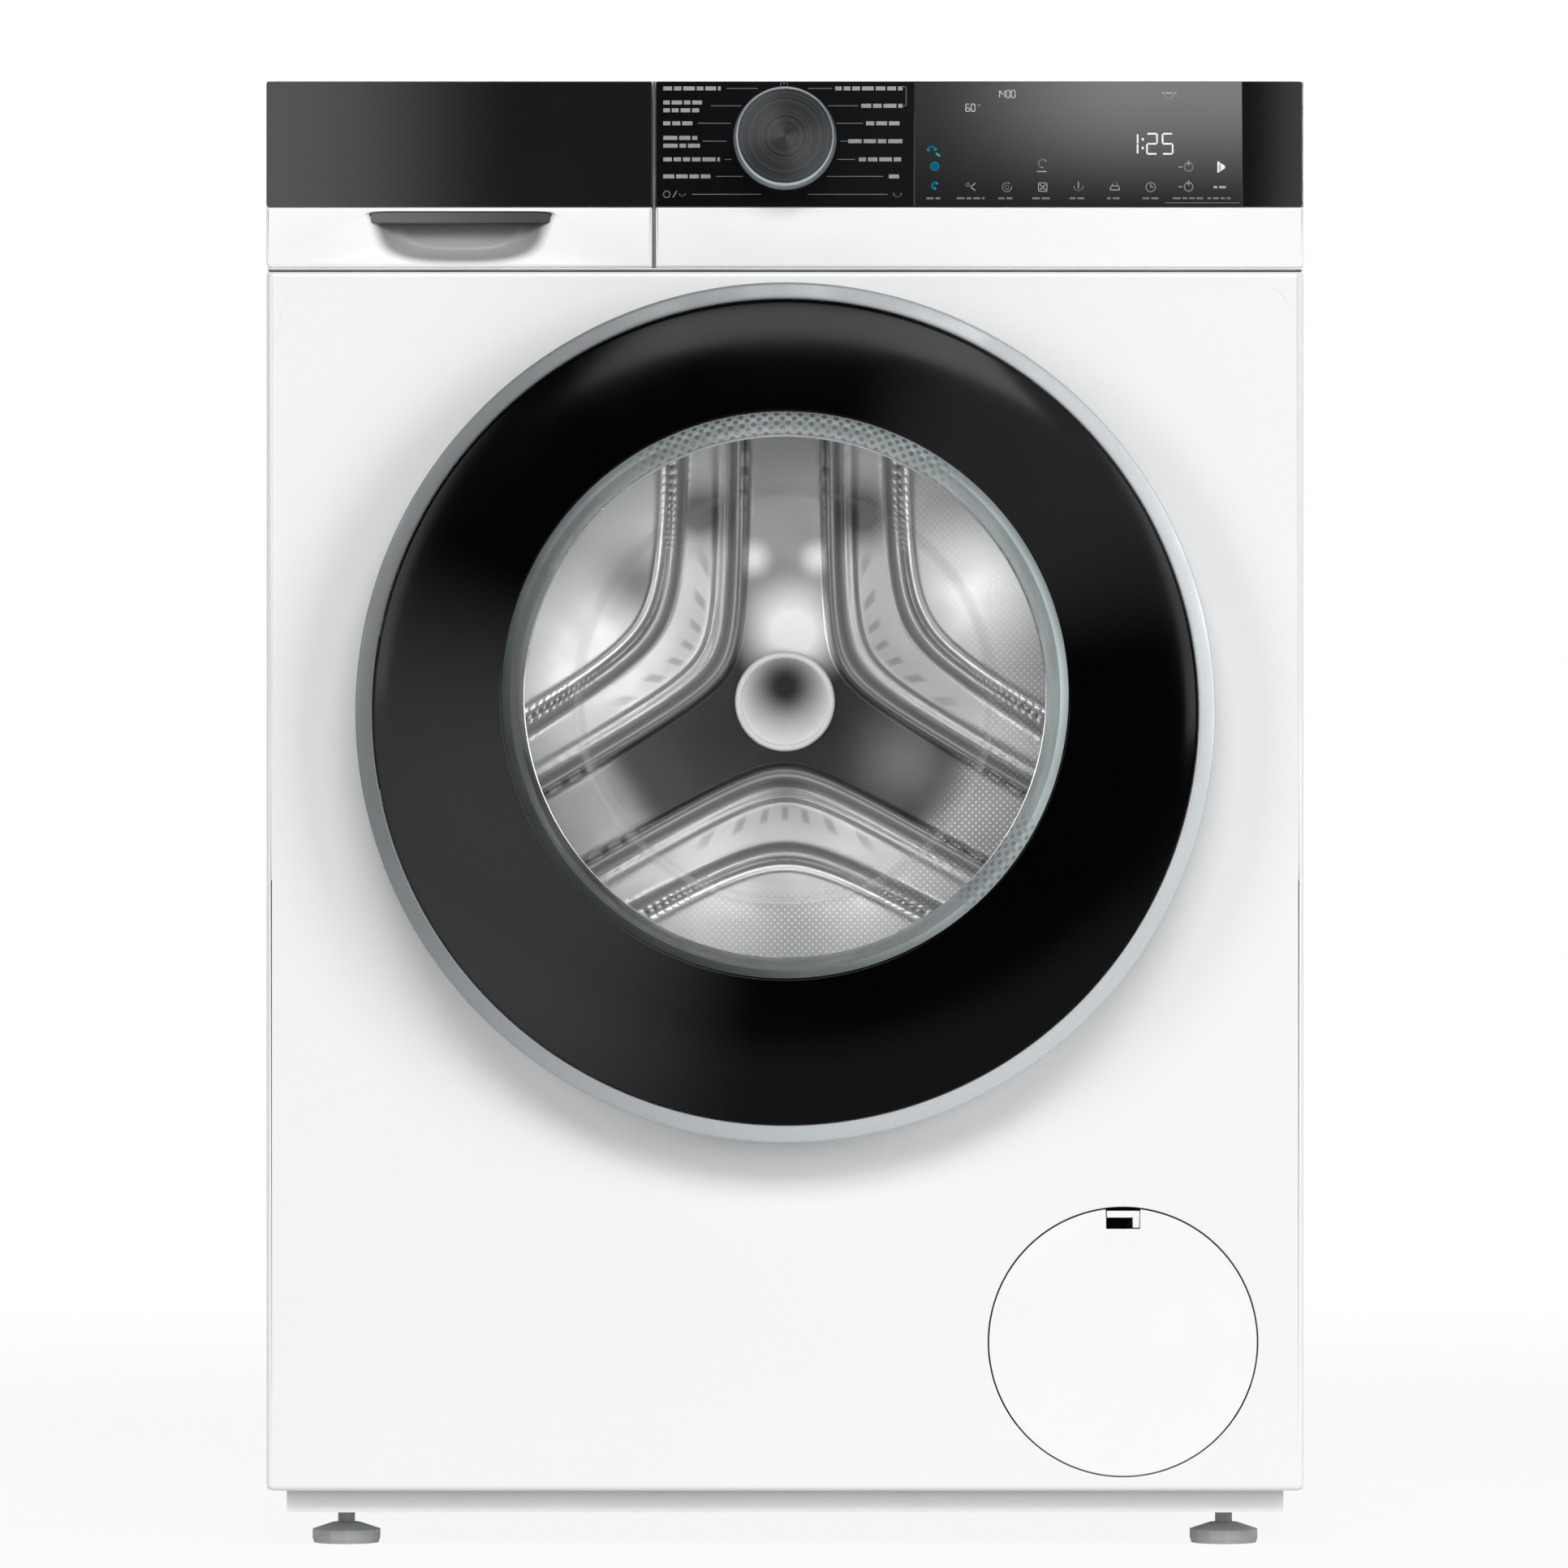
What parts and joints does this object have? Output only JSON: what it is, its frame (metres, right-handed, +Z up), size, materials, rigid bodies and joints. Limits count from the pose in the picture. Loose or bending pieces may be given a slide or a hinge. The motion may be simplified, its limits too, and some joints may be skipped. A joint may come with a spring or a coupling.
{
  "type": "front load washing machine",
  "caption": "Free-standing front load washing machine with a round glass door, detergent drawer, rotary selector, display strip and sprung tub.",
  "frame": {"origin": "on the floor under the middle of the whole machine", "axes": "+Z up, -Y towards the door, +X to the right of someone facing the door"},
  "size_m": [0.598, 0.638, 0.848],
  "materials": {
    "white_enamel": "smooth white enamel on sheet steel",
    "white_plastic": "white moulded plastic, satin",
    "white_laminate": "white laminate on board",
    "black_gloss": "glossy black, printed from behind",
    "smoked_glass": "black tinted toughened glass",
    "clear_glass": "clear moulded glass, slightly grey-green",
    "silver_trim": "silver lacquered plastic ring",
    "dark_brushed": "dark face brushed in circles with a bright rim",
    "stainless": "stainless steel, fine brushed",
    "galvanised_steel": "galvanised sheet",
    "cast_aluminium": "as cast",
    "spring_steel": "drawn steel wire",
    "concrete": "cast concrete",
    "grey_plastic": "light grey moulded plastic",
    "dark_plastic": "black moulded plastic",
    "grey_rubber": "soft grey rubber",
    "black_rubber": "black rubber",
    "circuit_board": "green circuit board"
  },
  "bodies": {
    "casing": {"left_side_panel": "white_enamel", "right_side_panel": "white_enamel", "rear_panel": "galvanised_steel", "front_panel": "white_enamel", "worktop": "white_laminate", "base_tray": "white_plastic", "fascia_housing": "white_plastic", "fascia_black_panel": "black_gloss", "control_board": "circuit_board", "dispenser_housing": "grey_plastic", "inlet_valve": "white_plastic", "fill_hose": "black_rubber", "drain_hose": "grey_plastic", "mains_gland": "dark_plastic", "door_seal": "grey_rubber", "door_lock": "dark_plastic", "door_hinge_bracket": "cast_aluminium", "damper_body_left": "dark_plastic", "damper_body_right": "dark_plastic", "pump_housing": "dark_plastic", "sump_hose": "black_rubber", "dispenser_hose": "black_rubber", "spring_left": "spring_steel", "spring_right": "spring_steel"},
    "door": {"door_outer_ring": "silver_trim", "door_glass_panel": "smoked_glass", "door_inner_frame": "dark_plastic", "door_bowl": "clear_glass", "door_hinge_leaf": "cast_aluminium"},
    "door_hook": {"door_hook": "stainless"},
    "drawer": {"drawer_front": "white_plastic", "drawer_black_panel": "black_gloss", "drawer_tray": "white_plastic"},
    "selector_knob": {"selector_knob": "dark_brushed"},
    "tub": {"tub_front": "grey_plastic", "tub_rear": "grey_plastic", "upper_counterweight": "concrete", "front_counterweight": "concrete", "heater_element": "stainless", "front_bearing": "stainless", "rear_bearing": "stainless", "motor_body": "cast_aluminium", "damper_rod_left": "stainless", "damper_rod_right": "stainless", "drive_belt": "black_rubber"},
    "drum": {"drum_shell": "stainless", "drum_back": "stainless", "drum_spider": "cast_aluminium", "drum_pulley": "cast_aluminium", "lifter_1": "grey_plastic", "lifter_2": "grey_plastic", "lifter_3": "grey_plastic", "hub_cap": "stainless"},
    "motor_rotor": {"motor_rotor": "stainless"},
    "service_flap": {"service_flap": "white_plastic"},
    "pump_filter": {"pump_filter": "grey_plastic"},
    "foot_front_left": {"foot_front_left": "grey_plastic"},
    "foot_front_right": {"foot_front_right": "grey_plastic"},
    "foot_rear_left": {"foot_rear_left": "grey_plastic"},
    "foot_rear_right": {"foot_rear_right": "grey_plastic"}
  },
  "joints": [
    {"name": "door_hinge", "type": "hinge", "parent": "casing", "child": "door", "pos_m": [-0.234, -0.292, 0.482], "axis": [0, 0, -1], "range_deg": [0, 165]},
    {"name": "door_hook_turn", "type": "hinge", "parent": "door", "child": "door_hook", "pos_m": [0.213, -0.282, 0.482], "axis": [0, 0, -1], "range_deg": [0, 8], "stiffness_Nm_per_rad": 0.05, "springref_deg": -8.59},
    {"name": "drawer_slide", "type": "slide", "parent": "casing", "child": "drawer", "axis": [0, -1, 0], "range_m": [0, 0.25]},
    {"name": "knob_turn", "type": "hinge", "parent": "casing", "child": "selector_knob", "pos_m": [0, -0.28, 0.813], "axis": [0, 1, 0], "continuous": true},
    {"name": "tub_bounce", "type": "slide", "parent": "casing", "child": "tub", "axis": [0, 0, 1], "range_m": [-0.01, 0.01], "stiffness_N_per_m": 10000, "springref_m": 0.04388, "deforming": ["door_seal", "spring_left", "spring_right", "dispenser_hose", "sump_hose"]},
    {"name": "drum_spin", "type": "hinge", "parent": "tub", "child": "drum", "pos_m": [0, 0.2, 0.492], "axis": [0, 1, 0], "continuous": true},
    {"name": "motor_spin", "type": "hinge", "parent": "tub", "child": "motor_rotor", "pos_m": [0, 0.22, 0.14], "axis": [0, 1, 0], "continuous": true},
    {"name": "service_flap_hinge", "type": "hinge", "parent": "casing", "child": "service_flap", "pos_m": [0.1948, -0.2658, 0.0378], "axis": [1, 0, 0], "range_deg": [0, 80]},
    {"name": "pump_filter_turn", "type": "hinge", "parent": "casing", "child": "pump_filter", "pos_m": [0.1948, -0.24, 0.1203], "axis": [0, 1, 0], "range_deg": [0, 180]},
    {"name": "foot_front_left_height", "type": "slide", "parent": "casing", "child": "foot_front_left", "axis": [0, 0, -1], "range_m": [0, 0.015]},
    {"name": "foot_front_right_height", "type": "slide", "parent": "casing", "child": "foot_front_right", "axis": [0, 0, -1], "range_m": [0, 0.015]},
    {"name": "foot_rear_left_height", "type": "slide", "parent": "casing", "child": "foot_rear_left", "axis": [0, 0, -1], "range_m": [0, 0.015]},
    {"name": "foot_rear_right_height", "type": "slide", "parent": "casing", "child": "foot_rear_right", "axis": [0, 0, -1], "range_m": [0, 0.015]}
  ],
  "couplings": [
    {"joint": "motor_spin", "follows": "drum_spin", "ratio": 12.727}
  ]
}
